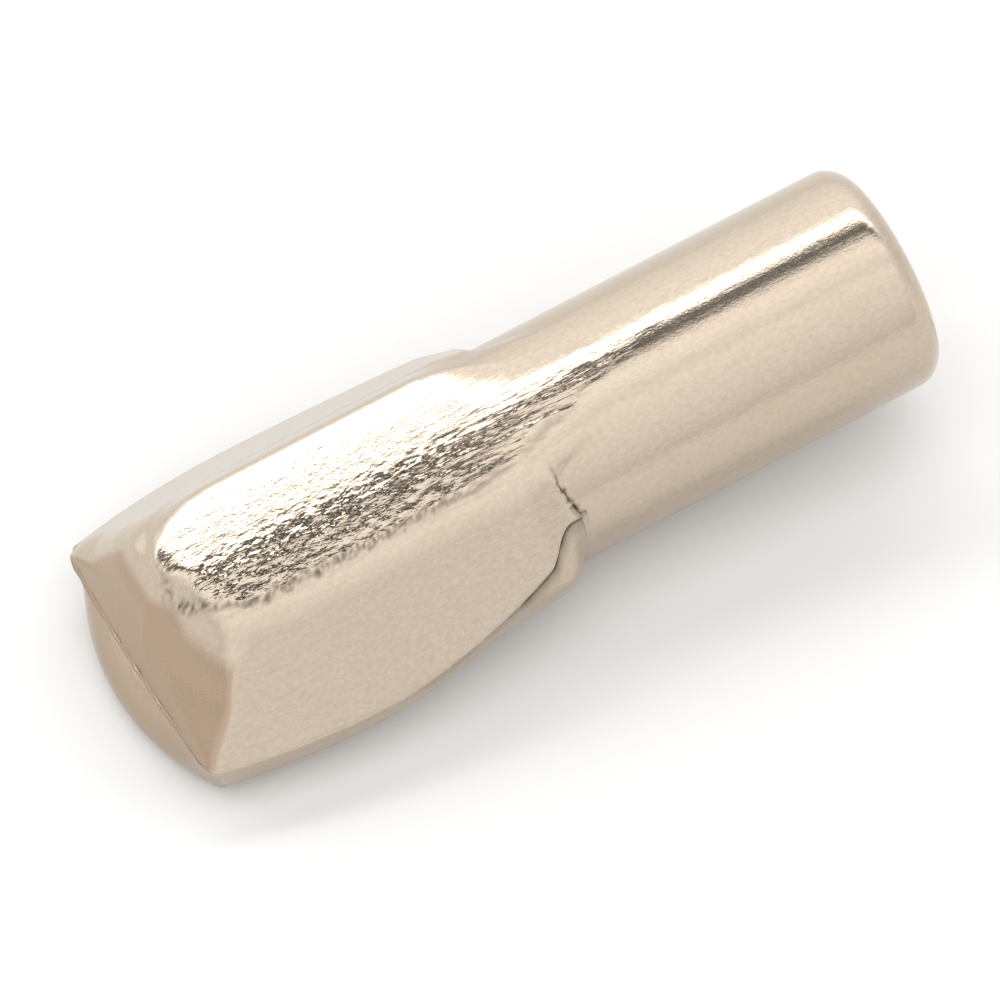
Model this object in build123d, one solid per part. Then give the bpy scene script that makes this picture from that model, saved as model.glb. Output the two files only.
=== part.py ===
from build123d import *
import os
from math import asin, atan2, cos, degrees, hypot, radians, sin, sqrt, tan

os.makedirs("parts", exist_ok=True)

# Shelf support pin: one length of plated steel wire. Its front half is pressed into a head with
# a flat underside for the shelf and, on the other side, a keel of two flanks and end facets.
# Millimetres. It is drawn with the shank along +X and the keel up, with the origin where the
# shoulder crosses the shank's axis, then tilted onto its tip and heel, as it comes to rest.

# Shank, with a rounded end and a rounded heel where it starts under the head
shank_diameter = 6.35
shank_length = 11.0
end_rounding = 0.77
heel_rounding = 0.9

# Outline of the head from above: its widest place is the belly
head_length = 12.6
belly_width = 9.2
belly_from_tip = 5.6
belly_radius = 21.0
shoulder_start = 0.3
shoulder_run = 1.05
rim_lag = 0.4

# Crest, which the press left untouched, and its rounded change to the flanks
crest_height = 3.15
crest_radius = 5.6
ridge_rounding = 1.7

# Flanks: slope below level, and depth of their foot below the shank's axis at the belly; they
# close in on an arc from the belly to the tip, and at the shoulder stand a step out of the shank
flank_slope = 52.5
flank_foot_depth = 0.328
flank_bow_radius = 28.5
flank_step = 0.155

# Flat underside, and the rounding between it and the rim, drawn deeper and skimmed off flat
underside_depth = 1.98
underside_skim = 0.01
underside_rounding_at_shoulder = 1.95
underside_rounding_at_tip = 1.15

# Steep facet at the front of the keel, down to the burr line above the rim
end_facet_setback = 0.75
end_facet_lean = 13.0
ear_undercut = 0.6

# Facet at each front corner, from the ear up and back to the ridge
corner_facet_depth = 0.25
corner_facet_rise = 40.0
corner_facet_turn = 31.0
facet_edge_rounding = 0.3

# Rim round the tip, the free bulged edge between the two pressed faces
tip_radius = 7.3
rim_top_depth = 0.63
rim_rounding = 0.6

# Sections that the head is drawn through, closer together near the shoulder
section_count = 18
section_crowding = 1.7

shank_radius = shank_diameter / 2
clear_of_head = head_length

# Places measured back from the shoulder, and the flanks' distance from the shank's axis
belly_from_shoulder = head_length - belly_from_tip
end_facet_foot = head_length - end_facet_setback
flank_across = sin(radians(flank_slope))
flank_up = cos(radians(flank_slope))
flank_distance = belly_width / 2 * flank_across - flank_foot_depth * flank_up


def sag(radius, run):
    """Drop of an arc below its level tangent after a run along it."""
    return radius - sqrt(radius**2 - run**2)


def swell(place):
    """Share of the head's form that is reached at a place, from 0 at the shoulder to 1."""
    share = min(max((place - shoulder_start) / shoulder_run, 0), 1)
    return share**2 * (3 - 2 * share)


def half_width(place):
    """Half the head's width: an arc either side of the belly that closes in at the shoulder."""
    belly = belly_width / 2 - sag(belly_radius, place - belly_from_shoulder)
    return shank_radius + (belly - shank_radius) * swell(place)


def head_section(place):
    """Section of the head across the shank's axis, as one half and its mirror image."""
    bow = sag(flank_bow_radius, max(place - belly_from_shoulder, 0))
    shoulder_distance = shank_radius + flank_step
    full_distance = shoulder_distance + (flank_distance - shoulder_distance) * swell(place)
    distance = full_distance - bow
    rounding_change = underside_rounding_at_tip - underside_rounding_at_shoulder
    rounding = underside_rounding_at_shoulder + rounding_change * place / head_length
    bottom = -underside_depth - underside_skim

    crest_centre = crest_height - crest_radius
    offset = distance - ridge_rounding - crest_centre * flank_up
    along = sqrt((crest_radius - ridge_rounding) ** 2 - offset**2)
    ridge_y = offset * flank_across - along * flank_up
    ridge_z = crest_centre + offset * flank_up + along * flank_across
    crest_turn = atan2(ridge_y, ridge_z - crest_centre)
    middle_turn = (crest_turn + radians(flank_slope)) / 2

    def on_ridge(turn):
        return ridge_y + ridge_rounding * sin(turn), ridge_z + ridge_rounding * cos(turn)

    crest_end = on_ridge(crest_turn)
    flank_top = on_ridge(radians(flank_slope))
    crease_y = half_width(place)
    flank_foot = (crease_y, (distance - crease_y * flank_across) / flank_up)
    rim_y = half_width(place + rim_lag)
    rim_foot = (rim_y, bottom + rounding)
    diagonal = rounding * (1 - sqrt(0.5))
    rim_corner = (rim_y - diagonal, bottom + diagonal)
    underside_end = (rim_y - rounding, bottom)
    half = [
        ThreePointArc(crest_end, on_ridge(middle_turn), flank_top),
        Line(flank_top, flank_foot),
        Line(flank_foot, rim_foot),
        ThreePointArc(rim_foot, rim_corner, underside_end),
    ]
    mirrored = [mirror(edge, about=Plane.YZ) for edge in half]
    crest = ThreePointArc((-crest_end[0], crest_end[1]), (0, crest_height), crest_end)
    underside = Line(underside_end, (-underside_end[0], underside_end[1]))
    section_plane = Plane(origin=(-place, 0, 0), x_dir=(0, 1, 0), z_dir=(1, 0, 0))
    return section_plane * make_face([crest, *half, underside, *mirrored])


def head_blank():
    """The head with its full section all the way to the tip, skimmed flat below."""
    shares = [number / section_count for number in range(section_count + 1)]
    drawn = loft([head_section(head_length * share**section_crowding) for share in shares])
    waste = Box(4 * clear_of_head, 4 * clear_of_head, 2 * clear_of_head)
    return drawn - Pos(0, 0, -underside_depth - clear_of_head) * waste


def keel(blank):
    """The blank cut by the end facet, the undercut below it and the two corner facets."""
    facet_run = (clear_of_head + rim_top_depth) * tan(radians(end_facet_lean))
    undercut_depth = (rim_top_depth + underside_depth) / 2
    side_view = Polyline(
        (0, -underside_depth),
        (0, clear_of_head),
        (-end_facet_foot + facet_run, clear_of_head),
        (-end_facet_foot, -rim_top_depth),
        (-end_facet_foot + ear_undercut, -undercut_depth),
        (-end_facet_foot + ear_undercut, -underside_depth),
        close=True,
    )
    body = blank & extrude(Plane.XZ * make_face(side_view), belly_width, both=True)

    ear = (-end_facet_foot, half_width(end_facet_foot), -corner_facet_depth)
    level = cos(radians(corner_facet_rise))
    outward = (
        -level * cos(radians(corner_facet_turn)),
        level * sin(radians(corner_facet_turn)),
        sin(radians(corner_facet_rise)),
    )
    beyond = Pos(0, 0, clear_of_head / 2) * Box(clear_of_head, clear_of_head, clear_of_head)
    corner = Plane(origin=ear, z_dir=outward) * beyond
    body = body - corner - mirror(corner, about=Plane.XZ)

    facets = body.faces().filter_by(GeomType.PLANE)
    end_edges = facets.sort_by(Axis.X)[0].edges()
    corner_edges = ShapeList(edge for facet in facets.sort_by(Axis.Z)[-2:] for edge in facet.edges())
    outer_edges = [edge for edge in corner_edges if edge not in end_edges]
    return fillet(set(outer_edges), facet_edge_rounding)


def rim(blank):
    """The lower part of the blank, rounded round the tip where the press left it free."""
    disc = extrude(Circle(tip_radius), underside_depth - rim_top_depth)
    disc = fillet(disc.edges().filter_by(GeomType.CIRCLE), rim_rounding)
    return blank & (Pos(tip_radius - head_length, 0, -underside_depth) * disc)


def shank():
    """Round wire with a rounded end, and a rounded heel inside and under the head."""
    heel_x = -heel_rounding
    arc_share = 1 - sqrt(0.5)
    heel_middle = (heel_x + heel_rounding * arc_share, shank_radius - heel_rounding * arc_share)
    end_middle = (
        shank_length - end_rounding * arc_share,
        shank_radius - end_rounding * arc_share,
    )
    profile = [
        Line((heel_x, 0), (heel_x, shank_radius - heel_rounding)),
        ThreePointArc((heel_x, shank_radius - heel_rounding), heel_middle, (0, shank_radius)),
        Line((0, shank_radius), (shank_length - end_rounding, shank_radius)),
        ThreePointArc(
            (shank_length - end_rounding, shank_radius),
            end_middle,
            (shank_length, shank_radius - end_rounding),
        ),
        Line((shank_length, shank_radius - end_rounding), (shank_length, 0)),
        Line((shank_length, 0), (heel_x, 0)),
    ]
    return revolve(make_face(profile), Axis.X)


def rest_tilt():
    """Slope of the line that touches the tip's rounding and the heel's rounding from below."""
    run = head_length - rim_rounding
    drop = (shank_radius - heel_rounding) - (underside_depth - rim_rounding)
    return degrees(atan2(drop, run) + asin((heel_rounding - rim_rounding) / hypot(run, drop)))


blank = head_blank()
pin = keel(blank) + rim(blank) + shank()
export_step(pin.rotate(Axis.Y, -rest_tilt()), "parts/shelf_pin.step")
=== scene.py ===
from math import cos, radians, sin

import bmesh
import bpy
import numpy as np
from mathutils import Matrix, Vector, noise


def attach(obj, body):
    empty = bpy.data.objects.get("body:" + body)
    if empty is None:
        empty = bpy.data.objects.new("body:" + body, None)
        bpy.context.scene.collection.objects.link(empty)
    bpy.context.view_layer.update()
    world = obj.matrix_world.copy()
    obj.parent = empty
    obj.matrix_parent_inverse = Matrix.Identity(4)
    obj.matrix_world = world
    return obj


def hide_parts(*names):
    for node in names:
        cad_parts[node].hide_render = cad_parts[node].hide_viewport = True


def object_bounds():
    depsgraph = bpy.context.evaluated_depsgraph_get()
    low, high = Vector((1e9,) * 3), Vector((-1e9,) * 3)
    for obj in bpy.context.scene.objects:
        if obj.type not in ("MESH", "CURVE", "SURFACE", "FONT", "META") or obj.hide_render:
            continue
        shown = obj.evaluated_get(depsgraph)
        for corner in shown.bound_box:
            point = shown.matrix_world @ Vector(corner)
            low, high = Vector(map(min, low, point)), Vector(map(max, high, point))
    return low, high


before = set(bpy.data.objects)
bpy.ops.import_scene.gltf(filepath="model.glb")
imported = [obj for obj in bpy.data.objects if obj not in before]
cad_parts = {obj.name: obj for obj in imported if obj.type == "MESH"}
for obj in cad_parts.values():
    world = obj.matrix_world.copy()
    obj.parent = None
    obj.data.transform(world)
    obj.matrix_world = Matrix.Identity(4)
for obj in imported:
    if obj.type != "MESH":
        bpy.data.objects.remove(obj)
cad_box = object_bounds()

# Shelf pin: one length of steel wire, nickel plated. A square-sided blank is pressed, vertex by
# vertex, onto the drawn form of the shank, keel, facets and rim, and its crest, burr line and
# shoulder are then worked like the cold-pressed metal of the real one. Sizes in millimetres
MM = 0.001
rest_tilt = 5.693988

# Shank, with a rounded end and a rounded heel under the head, which reaches a little over it
shank_radius = 3.175
shank_length = 11.0
end_rounding = 0.77
heel_rounding = 0.9
head_reach = 3.0

# Outline of the head from above
head_length = 12.6
belly_half_width, belly_place, belly_radius = 4.6, 7.0, 21.0
shoulder_start, shoulder_run = 0.3, 1.05

# Section of the head: flanks, crest, the ridges between them, and the rim down to the underside
flank_lean = radians(52.5)
belly_flank_distance, flank_bow_radius, shoulder_flank_drop = 3.45, 28.5, 0.12
crest_top, crest_radius, ridge_rounding = 3.15, 5.6, 1.7
underside = -1.98
rounding_at_shoulder, rounding_loss = 1.95, 0.8
rim_lag, crease_blunting = 0.4, 0.04

# Hollow and bulges of the rim's outline: size on the near and the far side, place and spread
rim_swells = [(-0.21, -0.08, 3.3, 1.6), (0.12, 0.0, 0.85, 0.75), (0.14, 0.0, 0.45, 0.3)]

# Where the head gives way to the shank: softly along the crest, and at a crease below it
crest_fade_start, crest_fade_end = -1.9, 2.2
crest_turn_end, flank_turn_start = 30, 47
far_crease = -0.45
near_crease_run, far_crease_run = 0.04, 0.35
ripple_depth, fine_ripple_depth, crease_set_back, crease_slant = 0.014, 0.008, 0.29, 0.27

# End facet with the second bevel at its top, and the corner facets, of which the far one is
# steeper and turns further to the side
end_foot, end_lean, end_height = 11.98, radians(17.0), -0.21
end_bow_depth, end_bow_reach, ear_y = 0.13, 4.3, 4.03
bevel_foot, bevel_height, bevel_lean, bevel_rounding = 11.21, 2.25, radians(40.0), 0.25
corner_x, corner_y, corner_depth, corner_merge = 11.85, 4.078, 0.25, 0.6
corner_lift, far_lift_loss = 42.5, 9.7
corner_swing, far_swing_gain = 31.0, 17.3

# Barrelled rim round the tip
tip_radius, rim_rounding, barrel_foot = 7.3, 0.6, -1.4


def sag(radius, run):
    """Drop of an arc below its level tangent after a run along it."""
    return radius - np.sqrt(radius**2 - np.clip(run, -radius, radius) ** 2)


def eased(value, start, end):
    """Share of the way from start to end, from 0 to 1, that sets off and arrives gently."""
    share = np.clip((value - start) / (end - start), 0, 1)
    return share**2 * (3 - 2 * share)


def swell(place):
    """Share of the head's form that is reached at a place, from 0 at the shoulder to 1."""
    share = np.clip((place - shoulder_start) / shoulder_run, 0, 1)
    return share**2 * (3 - 2 * share)


def half_width(place):
    """Half the head's width at a place."""
    belly = belly_half_width - sag(belly_radius, place - belly_place)
    return shank_radius + (belly - shank_radius) * swell(place)


def flank_distance(place):
    """Distance from the shank's axis to the plane of a flank."""
    bow = sag(flank_bow_radius, np.maximum(place - belly_place, 0))
    return belly_flank_distance - bow - shoulder_flank_drop * (1 - swell(place))


def crease_height(place):
    """Height of the crease below a flank."""
    rest = flank_distance(place) - half_width(place) * np.sin(flank_lean)
    return rest / np.cos(flank_lean)


def end_bow(y):
    """How far the end facet draws back towards its two sides."""
    return end_bow_depth * (np.clip(y, -end_bow_reach, end_bow_reach) / ear_y) ** 2


def shoulder_crease(z, turn):
    """Place of the ragged crease at the near shoulder, at a height and at an angle round."""
    ragged = ripple_depth * np.sin(z * 11) + fine_ripple_depth * np.sin(z * 27 + 1)
    slant = crease_slant * np.clip((turn - 50) / 19, 0, 1)
    return ragged - crease_set_back + slant


def blunt(first, second, radius):
    """The larger of two distances, with the corner between them rounded."""
    overlap = np.maximum(radius - np.abs(first - second), 0) / radius
    return np.maximum(first, second) + overlap**2 * radius / 4


def section(place, y, z):
    """Distance outside the head's section across the pin."""
    side = np.abs(y)
    distance = flank_distance(place)
    centre = crest_top - crest_radius
    offset = distance - ridge_rounding - centre * np.cos(flank_lean)
    along = np.sqrt((crest_radius - ridge_rounding) ** 2 - offset**2)
    ridge_y = offset * np.sin(flank_lean) - along * np.cos(flank_lean)
    ridge_z = centre + offset * np.cos(flank_lean) + along * np.sin(flank_lean)
    turn = np.arctan2(side - ridge_y, z - ridge_z)
    crest_turn = np.arctan2(ridge_y, ridge_z - centre)
    crest = np.hypot(side, z - centre) - crest_radius
    flank = side * np.sin(flank_lean) + z * np.cos(flank_lean) - distance
    ridge = np.hypot(side - ridge_y, z - ridge_z) - ridge_rounding
    top = np.where(turn < crest_turn, crest, np.where(turn > flank_lean, flank, ridge))
    top = np.where(z < ridge_z / 2, flank, top)

    rounding = rounding_at_shoulder - rounding_loss * place / head_length
    crease_y, rim_y = half_width(place), half_width(place + rim_lag)
    for near_size, far_size, middle, spread in rim_swells:
        size = np.where(y < 0, near_size, far_size)
        rim_y = rim_y + size * np.exp(-(((place - middle) / spread) ** 2))
    crease_z = crease_height(place)
    share = np.clip((crease_z - z) / (crease_z - rounding - underside), 0, 1)
    wall = side - crease_y - (rim_y - crease_y) * share
    deep_y, deep_z = side - rim_y + rounding, underside + rounding - z
    corner = np.hypot(np.maximum(deep_y, 0), np.maximum(deep_z, 0)) - rounding
    wall = np.where(deep_z > 0, np.where(deep_y > 0, corner, deep_z - rounding), wall)
    return blunt(top, wall, crease_blunting)


def form(x, y, z):
    """Distance outside the pin, before it lies down: the keel, the rim or the shank."""
    round_bar = np.hypot(y, z) - shank_radius
    turn = np.degrees(np.arctan2(np.abs(y), z))
    crisp = eased(turn, crest_turn_end, flank_turn_start)
    crease_start = np.where(y < 0, shoulder_crease(z, turn), far_crease)
    crease_end = crease_start + np.where(y < 0, near_crease_run, far_crease_run)
    fade_start = crest_fade_start + crisp * (crease_start - crest_fade_start)
    fade_end = crest_fade_end + crisp * (crease_end - crest_fade_end)
    fade = eased(x, fade_start, fade_end)
    head = section(np.clip(-x, 0, head_length), y, z) * (1 - fade) + round_bar * fade

    high = np.maximum(z, end_height)
    facet_x = x + end_foot - end_bow(y)
    facet = -facet_x * np.cos(end_lean) + (high - end_height) * np.sin(end_lean)
    bevel = -(x + bevel_foot) * np.cos(bevel_lean) + (z - bevel_height) * np.sin(bevel_lean)
    facet = blunt(facet, bevel, bevel_rounding)

    far = eased(y, -corner_merge, corner_merge)
    lift = np.radians(corner_lift - far_lift_loss * far)
    swing = np.radians(corner_swing + far_swing_gain * far)
    far_cut = (0.1 + 0.22 * eased(z, -0.1, 0.8)) * far
    near_left_on = 0.25 * (1 - far) * eased(z, 2.1, 2.9)
    corner = (
        -(x + corner_x) * np.cos(lift) * np.cos(swing)
        + (np.hypot(y, corner_merge) - corner_y) * np.cos(lift) * np.sin(swing)
        + (high + corner_depth) * np.sin(lift)
        + far_cut
        - near_left_on
    )

    # Edges between the facets, and from them to the ridges and the crest, are softer higher up
    facet_softness = 0.1 + (1.3 - far) * eased(z, -0.2, 1.1)
    ends = blunt(facet, corner, facet_softness)
    outer = eased(np.abs(y), 0.8, 1.6)
    ridge_softness = 0.15 + (0.1 + 0.2 * outer) * eased(z, 1.6, 2.6)
    keel = blunt(head, ends, ridge_softness)

    disc = -x - np.sqrt(np.maximum(tip_radius**2 - y**2, 0)) - (head_length - tip_radius)
    lowered = np.clip((end_height - z) / (end_height - barrel_foot), 0, 1)
    share = 1 - (1 - lowered) ** 2
    barrel = ends * (1 - share) + disc * share
    rounding_top = underside + rim_rounding
    below = np.maximum(rounding_top - z, 0)
    turned = np.hypot(np.maximum(disc + rim_rounding, 0), below) - rim_rounding
    rim = np.maximum(head, np.where(z < rounding_top, turned, barrel))

    past_end, past_heel = x - (shank_length - end_rounding), -x
    end = np.hypot(np.maximum(round_bar + end_rounding, 0), np.maximum(past_end, 0))
    heel = np.hypot(np.maximum(round_bar + heel_rounding, 0), np.maximum(past_heel, 0))
    shank = np.maximum(
        np.where(past_end > 0, end - end_rounding, round_bar),
        np.where(past_heel > 0, heel - heel_rounding, round_bar),
    )
    tip = np.where(z > end_height, keel, rim)
    return np.minimum(np.maximum(tip, x - head_reach), shank)


# Blank: a box cut into fine rows. Along the pin they lie closer together at the tip and at the
# shoulder, and one row round the sides and the front follows the creases below the flanks and
# the end facet, in a band of rows that keep their distance from it
cuts_along, cuts_across, cuts_high = 270, 104, 56
steps_along, steps_high = cuts_along + 1, cuts_high + 1
row_counts = np.array([0, 60, 160, 180, 200, 224, 254, steps_along])
row_places = [-12.75, -9.3, -1.6, -0.4, 0.3, 2.5, 10.1, 11.2]
evenness, blank_half_width, blank_bulge = 0.6, 3.9, 0.5
blank_bottom, blank_top, blank_front = -2.0, 2.8, -12.7
crease_count, band_share, band_height = 21, 0.14, 0.2
spine_front, spine_back, spine_drop = -9.3, 10.1, 1.0
spine_rise_end, spine_rise_run = 1.2, 2.4
tip_share, last_place = 0.95, 12.2
whole_edge = 0.9
on_side = 0.999
far_below = -9

bm = bmesh.new()
bmesh.ops.create_cube(bm, size=1.0)
for axis, cuts in enumerate((cuts_along, cuts_across, cuts_high)):
    edges = [
        edge
        for edge in bm.edges
        if abs((edge.verts[0].co - edge.verts[1].co)[axis]) > whole_edge
    ]
    bmesh.ops.subdivide_edges(bm, edges=edges, cuts=cuts, use_grid_fill=True)
bm.verts.ensure_lookup_table()
along, across, height = (np.array([vertex.co for vertex in bm.verts]) * 2).T

x = np.interp(along, row_counts / steps_along * 2 - 1, row_places)
narrowed = evenness * across + (1 - evenness) * across**3
y = narrowed * (blank_half_width + blank_bulge * (1 - np.abs(height)))
spine_x = np.clip(x, spine_front, spine_back)
spine_z = -spine_drop * np.clip((spine_rise_end - x) / spine_rise_run, 0, 1)
place = np.clip(-spine_x - tip_share * (x - spine_x), 0, last_place)
side_crease = spine_z + np.abs(y) * (crease_height(place) - spine_z) / half_width(place)
tip_run = end_foot - end_bow(y) + spine_front
tip_crease = spine_z + (spine_front - x) * (end_height + spine_drop) / tip_run
higher_crease = np.maximum(np.where(x < spine_front, tip_crease, far_below), side_crease)
middle_crease = np.where(x > blank_front, 0.0, tip_crease)
crease_z = np.where(np.abs(across) > on_side, higher_crease, middle_crease)

crease_row = crease_count / steps_high * 2 - 1
band_start, band_end = crease_row - band_share, crease_row + band_share
below_band = crease_z - band_height - blank_bottom
above_band = blank_top - crease_z - band_height
z = np.where(
    height < band_start,
    blank_bottom + (height + 1) * below_band / (band_start + 1),
    np.where(
        height < band_end,
        crease_z + (height - crease_row) * band_height / band_share,
        blank_top - (1 - height) * above_band / (1 - crease_row - band_share),
    ),
)

# Pressing: each vertex moves out from the spine, along its own ray, until it meets the form
shortest, longest, halvings = 0.05, 9.0, 44
ray = np.stack([x - spine_x, y, z - spine_z], axis=1)
ray /= np.linalg.norm(ray, axis=1)[:, None]
inside, outside = np.full(len(x), shortest), np.full(len(x), longest)
for _ in range(halvings):
    reach = (inside + outside) / 2
    beyond = form(spine_x + ray[:, 0] * reach, ray[:, 1] * reach, spine_z + ray[:, 2] * reach) > 0
    outside = np.where(beyond, reach, outside)
    inside = np.where(beyond, inside, reach)
pressed = np.stack([spine_x, 0 * spine_x, spine_z], axis=1) + ray * inside[:, None]
for vertex, met in zip(bm.verts, pressed):
    vertex.co = Vector(met)
bmesh.ops.recalc_face_normals(bm, faces=bm.faces)
bm.normal_update()


def limited(value, low=0, high=1):
    """The value, kept between two others."""
    return min(max(value, low), high)


# Burr along the foot of the end facet, and the overlap where the flank's foot laps over the side:
# how far each row from the crease is lifted, and how much shade is painted into that overlap
burr_lifts = {0: 0.05, 1: 0.012, -1: -0.012}
burr_back, burr_half_width, burr_fade = -11.2, 4.0, 0.4
fold_lifts = {-1: -0.015, -2: -0.03, -3: -0.03, -4: -0.015}
fold_painted_shades = {0: 0.25, -1: 0.7, -2: 0.9, -3: 0.8, -4: 0.5, -5: 0.3, -6: 0.15}
fold_front, fold_back, fold_far_share = -9.0, 0.2, 0.4
fold_growth_start, fold_growth_run = 6.5, 4.5
lowest_row, highest_row = -7, 2
facing_down = -0.75

painted_shade_mask = bm.verts.layers.float.new("painted_shade")
rows_from_crease = np.round((height - crease_row) * steps_high / 2).astype(int)
for vertex, rows in zip(bm.verts, rows_from_crease):
    x, y, z = vertex.co
    if not lowest_row <= rows <= highest_row or vertex.normal.z < facing_down or x > fold_back:
        continue
    ragged = 1 + 0.7 * noise.noise(Vector((x * 2.5, y * 2.5, 5.0)))
    if x < burr_back:
        share = limited((burr_half_width - abs(y)) / burr_fade)
        vertex.co += vertex.normal * (burr_lifts.get(rows, 0.0) * share * ragged)
    elif x > fold_front:
        share = limited((x + fold_growth_start) / fold_growth_run)
        share *= 1.0 if y < 0 else fold_far_share
        vertex.co += vertex.normal * (fold_lifts.get(rows, 0.0) * share * ragged)
        # Painted shade in the overlap, darkest a few rows below the crease
        vertex[painted_shade_mask] = min(fold_painted_shades.get(rows, 0.0) * share * ragged, 1)

# Tongue of drawn-wire skin that the press left on the crest: a low plateau with a torn edge,
# crumpled at the front and drawn out in lines towards the shank. Its half width at each place
tongue_places = [-10.75, -10.6, -10.3, -9.8, -9.2, -8.4, -2.2, -1.0, 0.0, 1.0, 2.0, 3.6]
tongue_halves = [0.0, 0.62, 1.05, 1.42, 1.66, 1.76, 1.76, 1.56, 1.25, 0.95, 0.68, 0.25]
tongue_front, tongue_back, tongue_lowest = -10.95, 4.2, 1.5
tongue_blunt_end, tongue_middle, tongue_edge = -10.8, -0.12, 0.12
jag_depth, fine_jag_depth = 0.14, 0.06
coarse_depth, middle_depth, fine_depth = 0.016, 0.016, 0.009
plateau_height = 0.045
near_flattening, far_flattening = 0.06, 0.086
plateau_fade_start, plateau_fade_run = -1.5, 3.5
slope_run = 0.1
darkest_edge = 0.85

skin_mask = bm.verts.layers.float.new("skin")
lines_mask = bm.verts.layers.float.new("lines")


def work_tongue(vertex, x, y, z):
    """Lifts and crumples the skin on the crest, marks it and its lines, and paints shade along its
    torn edge.
    """
    drawn = 0.25 + 0.75 * limited((-x - 2.0) / 5.0)
    lined = limited((x + 5.0) / 4.0)

    def lumps(along, across, layer):
        """Noise with so many lumps in a millimetre, fewer along the pin where it is drawn out."""
        return noise.noise(Vector((x * along * drawn, y * across, layer)))

    jag = lumps(2.6, 1.0, 3.1) * jag_depth
    jag += lumps(7, 3.0, 7.7) * fine_jag_depth * limited((0.4 - y) / 0.8)
    half = float(np.interp(x, tongue_places, tongue_halves))
    widening = float(np.interp(x + slope_run, tongue_places, tongue_halves)) - half
    inward = (half + jag - abs(y - tongue_middle)) / np.hypot(1.0, widening / slope_run)
    inward = min(inward, x - tongue_blunt_end + jag)
    share = limited(inward / (tongue_edge + (0.2 + 0.3 * lined) * limited(y)))

    # Shade is painted along the torn edge on the near side, less where the skin is drawn out
    edge_share = max(1 - abs(inward - tongue_edge) / 0.2, 0) * limited((0.9 - y) / 1.4)
    edge_share *= 1 - 0.6 * lined
    edge_shade = edge_share * limited(0.5 + 1.6 * lumps(6.0, 9.0, 41.0), 0, darkest_edge)
    vertex[painted_shade_mask] = max(edge_shade, vertex[painted_shade_mask])

    # The near half is crumpled, and the far half is nearly smooth
    near = limited((0.3 - y) / 0.8, 0.12)
    worked = lumps(2.6, 3.4, z * 2.0) * coarse_depth
    worked += lumps(6.0, 8.5, 11.0) * middle_depth
    worked += lumps(11.0, 15.0, 23.0) * fine_depth
    worked *= near
    rough_share = share * (0.3 + 0.7 * limited((0.1 - y) / 0.5))
    vertex[skin_mask] = rough_share * (1 - 0.8 * lined)
    vertex[lines_mask] = rough_share * lined

    # The plateau is flatter than the crest, fades out on the shank, and ramps down to the far ridge
    raised = plateau_height + max(y + 0.1, 0) ** 2 * far_flattening
    raised += max(-y - 0.8, 0) ** 2 * near_flattening
    if x >= plateau_fade_start:
        raised *= max(1 - (x - plateau_fade_start) / plateau_fade_run, 0) ** 2
    lifted = share
    if y > 0.3:
        ramp = limited((half + 0.75 - y) / 0.8) ** 2
        lifted = max(share, ramp * limited(inward / tongue_edge + 8 * y))
    vertex.co += vertex.normal * (lifted * raised + share * worked)


# Ragged crease at the near shoulder, painted dark as shade, between two angles round the pin in
# degrees, and the two small holes beside it, which are pressed in and painted dark as shade too
torn_from, torn_to, torn_reach = 36, 76, 0.5
small_holes = [(Vector((-0.35, -3.05, 1.05)), 0.13), (Vector((-0.02, -3.0, 1.12)), 0.1)]
hole_depth = 0.05


def paint_crease_shade(vertex, x, y, z, turn):
    """Paints shade into the crease as a dark line that thickens downwards and breaks up."""
    edge = shoulder_crease(z, turn) + 0.03
    thick = 0.09 + 0.07 * limited((turn - 50) / 15)
    torn = noise.noise(Vector((x * 8.0, y * 8.0, z * 8.0)))
    dark = max(1 - abs(x - edge) / (thick + 0.08 * torn), 0) * min((turn - torn_from) / 14, 1)
    dark *= limited((70 - turn) / 4)
    vertex[painted_shade_mask] = min(max(vertex[painted_shade_mask], dark * (0.8 + torn)), 1)


# Facets, marked by the way that they face, up to a top that lies lower on the near side, for
# their pits and for a browner colour painted on as the dark reflection of the shaded floor near
# the tip, and the flanks, marked for their frosted surface
near_lift, near_swing = radians(corner_lift), radians(corner_swing)
end_facing = Vector((-cos(end_lean), 0.0, sin(end_lean)))
near_facing = Vector(
    (-cos(near_lift) * cos(near_swing), -cos(near_lift) * sin(near_swing), sin(near_lift))
)
facets_back, facet_top, near_facet_drop = -9.5, 2.42, 0.35
rim_mark = 0.7
flank_front, flank_lowest = -12, -0.6
facet_mask = bm.verts.layers.float.new("facet")
flank_mask = bm.verts.layers.float.new("flank")

for vertex in bm.verts:
    x, y, z = vertex.co
    turn = np.degrees(np.arctan2(abs(y), z))
    if z > tongue_lowest and tongue_front < x < tongue_back:
        work_tongue(vertex, x, y, z)
    if abs(x) < torn_reach and torn_from < turn < torn_to and y < 0:
        paint_crease_shade(vertex, x, y, z, turn)
    # Each small hole is pressed in and painted dark as shade
    for hole, size in small_holes:
        share = limited(1.5 - (Vector((x, y, z)) - hole).length / size)
        vertex[painted_shade_mask] = max(vertex[painted_shade_mask], share)
        vertex.co -= vertex.normal * (hole_depth * share)
    if x < facets_back:
        leaning = max(vertex.normal.dot(end_facing), vertex.normal.dot(near_facing))
        top = facet_top - near_facet_drop * limited((-y - 0.4) / 0.8)
        share = limited((leaning - 0.86) / 0.07) * limited((top - z) / 0.3)
        vertex[facet_mask] = share * (1.0 if z > end_height - 0.02 else rim_mark)
    on_flank = flank_front < x < 0 and z > flank_lowest
    if on_flank and abs(vertex.normal.y) > 0.7 and vertex.normal.z > 0.5:
        vertex[flank_mask] = 1.0

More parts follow.
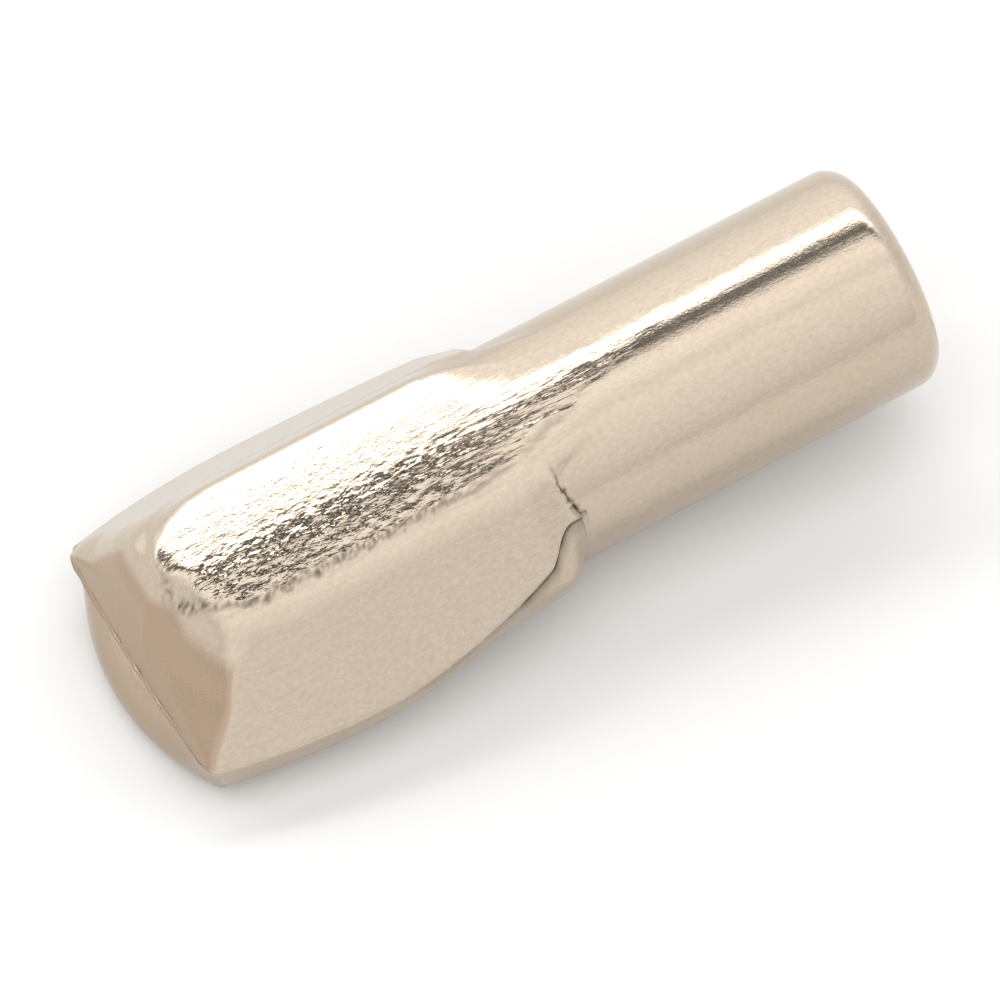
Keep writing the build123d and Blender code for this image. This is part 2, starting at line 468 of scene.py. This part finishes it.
for vertex in bm.verts:
    vertex.co *= MM
lying = Matrix.Rotation(-radians(rest_tilt), 4, "Y")
bmesh.ops.transform(bm, matrix=lying, verts=bm.verts, space=Matrix())
bmesh.ops.recalc_face_normals(bm, faces=bm.faces)
mesh = bpy.data.meshes.new("pressed_pin")
bm.to_mesh(mesh)
bm.free()
mesh.polygons.foreach_set("use_smooth", [True] * len(mesh.polygons))
pin = bpy.data.objects.new("pressed_pin", mesh)
bpy.context.scene.collection.objects.link(pin)


def linear(code):
    """An sRGB hex colour as linear red, green, blue and alpha."""
    parts = [int(code[place : place + 2], 16) / 255 for place in (0, 2, 4)]
    return [c / 12.92 if c <= 0.04045 else ((c + 0.055) / 1.055) ** 2.4 for c in parts] + [1.0]


def add(tree, kind, settings=None, links=None):
    """A node with its settings, constants and links, named by socket name or number."""
    node = tree.nodes.new(kind)
    for name, value in (settings or {}).items():
        if isinstance(name, int) or name in node.inputs:
            node.inputs[name].default_value = value
        else:
            setattr(node, name, value)
    for name, source in (links or {}).items():
        tree.links.new(source, node.inputs[name])
    return node


# Bright nickel plating with a warm tone over pressed steel: it mirrors its surroundings on the
# shank and the ridges, glitters where the skin is crumpled, is frosted on the flanks, and is pitted
# on the facets, which are painted browner as a dark reflection; shade is painted into the creases,
# the overlap below the flanks, the torn edge of the skin and the small holes
bright_nickel, dull_nickel = linear("cabcae"), linear("bcac96")
# A browner nickel painted on the facets as a dark reflection, and a dark brown painted in as shade
facet_reflection_shade, painted_shade_colour = linear("ad9882"), linear("4a3f33")
plating = bpy.data.materials.new("nickel_plating")
plating.use_nodes = True
tree = plating.node_tree
tree.nodes.clear()
on_pin = add(tree, "ShaderNodeTexCoord").outputs["Object"]
skin, painted_shade, lines, facet, flank = (
    add(tree, "ShaderNodeAttribute", {"attribute_name": name}).outputs["Fac"]
    for name in ("skin", "painted_shade", "lines", "facet", "flank")
)


def grain(size, stretch, detail):
    """Noise whose lumps are of a size in millimetres, drawn out along the pin."""
    drawn_out = add(
        tree, "ShaderNodeMapping", {"Scale": (1 / stretch, 1.0, 1.0)}, {"Vector": on_pin}
    )
    settings = {"Scale": 1 / (size * MM), "Detail": detail, "Roughness": 0.6}
    lumps = add(tree, "ShaderNodeTexNoise", settings, {"Vector": drawn_out.outputs[0]})
    return lumps.outputs["Fac"]


def bump(pattern, height, share=None, under=None):
    """Relief of a height in millimetres, all over or where a mark says, on top of another."""
    links = {"Height": pattern}
    if share:
        links["Strength"] = share
    if under:
        links["Normal"] = under
    settings = {"Distance": height * MM, "Strength": 1.0}
    return add(tree, "ShaderNodeBump", settings, links).outputs[0]


def blend(share, low, high):
    """A number that goes from low to high with a share."""
    settings = {"To Min": low, "To Max": high}
    return add(tree, "ShaderNodeMapRange", settings, {"Value": share}).outputs[0]


def tint(share, under, colour):
    """A colour laid over another by a share."""
    settings = {"data_type": "RGBA", 7: colour}
    return add(tree, "ShaderNodeMix", settings, {0: share, 6: under}).outputs[2]


# From the bottom up: orange peel of the plating, lines left by the wire's die, crumples in two
# sizes, the lines of the drawn-out skin, pits of the facets, frost of the flanks, and grit. The
# die's lines and the grit are finer on the real pin, and drawn as coarse as they need to show
peel = bump(grain(0.3, 1.5, 2.0), 0.004)
drawn = bump(grain(0.14, 9.0, 2.0), 0.003, under=peel)
crumpled = bump(grain(0.13, 1.7, 1.0), 0.013, skin, drawn)
creased = bump(grain(0.07, 2.0, 1.0), 0.007, skin, crumpled)
lined = bump(grain(0.09, 8.0, 2.0), 0.012, lines, creased)
pitted = bump(grain(0.12, 1.0, 2.0), 0.010, facet, lined)
frosted = bump(grain(0.16, 1.3, 2.0), 0.010, flank, pitted)
gritty = bump(grain(0.06, 1.0, 1.0), 0.003, under=frosted)
mottled = blend(grain(0.13, 1.3, 3.0), -0.3, 1.3)
worn = add(
    tree, "ShaderNodeMix", {"data_type": "RGBA", 6: bright_nickel, 7: dull_nickel}, {0: mottled}
)
# Facets painted browner as a dark reflection
plate = tint(facet, worn.outputs[2], facet_reflection_shade)
# Painted shade in the creases, overlaps, torn edge and holes
shaded_plate = tint(painted_shade, plate, painted_shade_colour)
metal = add(
    tree,
    "ShaderNodeBsdfPrincipled",
    {"Metallic": 1.0},
    {"Base Color": shaded_plate, "Roughness": blend(skin, 0.16, 0.10), "Normal": gritty},
)
add(tree, "ShaderNodeOutputMaterial", links={"Surface": metal.outputs[0]})
mesh.materials.append(plating)
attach(pin, "root")
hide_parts("shelf_pin")

# Floor: a plain pale sheet of uncoated paper, which is matt all over. It lies flat under the
# pin and reaches far beyond the picture. Metres
floor_width = 1.2
bpy.ops.mesh.primitive_plane_add(size=floor_width, location=(0, 0, cad_box[0].z))
floor = bpy.context.object
floor.name = "floor"
paper = bpy.data.materials.new("white_paper")
paper.use_nodes = True
tree = paper.node_tree
tree.nodes.clear()
sheet = add(tree, "ShaderNodeBsdfDiffuse", {"Color": linear("e6e6e5")})
add(tree, "ShaderNodeOutputMaterial", links={"Surface": sheet.outputs[0]})
floor.data.materials.append(paper)

# Studio light: long soft panels that run along the pin. The sky draws them by the angle round
# the pin, in degrees from the camera's side, each with its glow. Beyond the pin's two ends the
# panels give way to one plain glow
toward = (-0.2674, -0.4863, 0.832)
across_pin = (-0.049, 0.869, 0.492)
along_pin = (0.995, 0.0, 0.099)
panels = [
    (-60, 0.95),
    (-50, 1.1),
    (-30, 1.25),
    (-10, 1.36),
    (2, 1.48),
    (7, 1.24),
    (13, 1.38),
    (28, 1.66),
    (36, 1.6),
    (40, 0.95),
    (44, 0.3),
    (49, 0.07),
    (54, 0.15),
    (58, 0.95),
    (61, 4.2),
    (68, 4.2),
    (73, 1.6),
    (76, 1.4),
    (86, 1.56),
    (102, 1.42),
    (116, 1.3),
    (124, 1.2),
]
first_turn, last_turn = panels[0][0], panels[-1][0]
brightest = max(glow for turn, glow in panels)
plain_glow, plain_start, plain_end = 1.4, 0.55, 0.82
dim_share, dim_start, dim_end = 0.73, 0.6, 0.95

world = bpy.data.worlds.new("studio")
bpy.context.scene.world = world
world.use_nodes = True
tree = world.node_tree
tree.nodes.clear()
sky = add(tree, "ShaderNodeTexCoord").outputs["Generated"]
near, aside, endways = (
    add(tree, "ShaderNodeVectorMath", {"operation": "DOT_PRODUCT", 1: direction}, {0: sky})
    for direction in (toward, across_pin, along_pin)
)
angle = add(
    tree,
    "ShaderNodeMath",
    {"operation": "ARCTAN2"},
    {0: aside.outputs["Value"], 1: near.outputs["Value"]},
)
turned = add(
    tree,
    "ShaderNodeMapRange",
    {"From Min": radians(first_turn), "From Max": radians(last_turn)},
    {"Value": angle.outputs[0]},
)
ramp = add(tree, "ShaderNodeValToRGB", links={"Fac": turned.outputs[0]})
stops = ramp.color_ramp.elements
for number, (turn, glow) in enumerate(panels):
    position = (turn - first_turn) / (last_turn - first_turn)
    if number == 0:
        stop = stops[0]
    elif number == len(panels) - 1:
        stop = stops[len(stops) - 1]
    else:
        stop = stops.new(position)
    stop.position = position
    stop.color = [glow / brightest] * 3 + [1.0]
endward = add(tree, "ShaderNodeMath", {"operation": "ABSOLUTE"}, {0: endways.outputs["Value"]})
strength = add(
    tree,
    "ShaderNodeMapRange",
    {
        "From Min": dim_start,
        "From Max": dim_end,
        "To Min": brightest,
        "To Max": brightest * dim_share,
    },
    {"Value": endward.outputs[0]},
)
plain_share = add(
    tree,
    "ShaderNodeMapRange",
    {"From Min": plain_start, "From Max": plain_end},
    {"Value": endward.outputs[0]},
)
plain = tint(plain_share.outputs[0], ramp.outputs[0], [plain_glow / brightest] * 3 + [1.0])
backdrop = add(
    tree,
    "ShaderNodeBackground",
    links={"Color": plain, "Strength": strength.outputs[0]},
)
add(tree, "ShaderNodeOutputWorld", links={"Surface": backdrop.outputs[0]})

# Camera: far away with a long lens, as in the photograph. The picture's width and the place of
# its middle are in millimetres at the pin, to the right of the origin and up from it
right = Vector((0.8763, -0.4818, 0.0))
up = Vector((0.4008, 0.7291, 0.5548))
middle_right, middle_up = -0.7752, -1.1986
lens, picture_width = 600.0, 26.458
back = Vector(toward).normalized()
centre = (right * middle_right + up * middle_up) * MM
lens_data = bpy.data.cameras.new("camera")
lens_data.lens = lens
lens_data.clip_start = 0.01
lens_data.clip_end = 10.0
camera = bpy.data.objects.new("camera", lens_data)
bpy.context.scene.collection.objects.link(camera)
camera.location = centre + back * (picture_width * MM * lens / lens_data.sensor_width)
camera.rotation_mode = "QUATERNION"
camera.rotation_quaternion = (-back).to_track_quat("-Z", "Y")
bpy.context.scene.camera = camera
bpy.context.scene.view_settings.view_transform = "Standard"
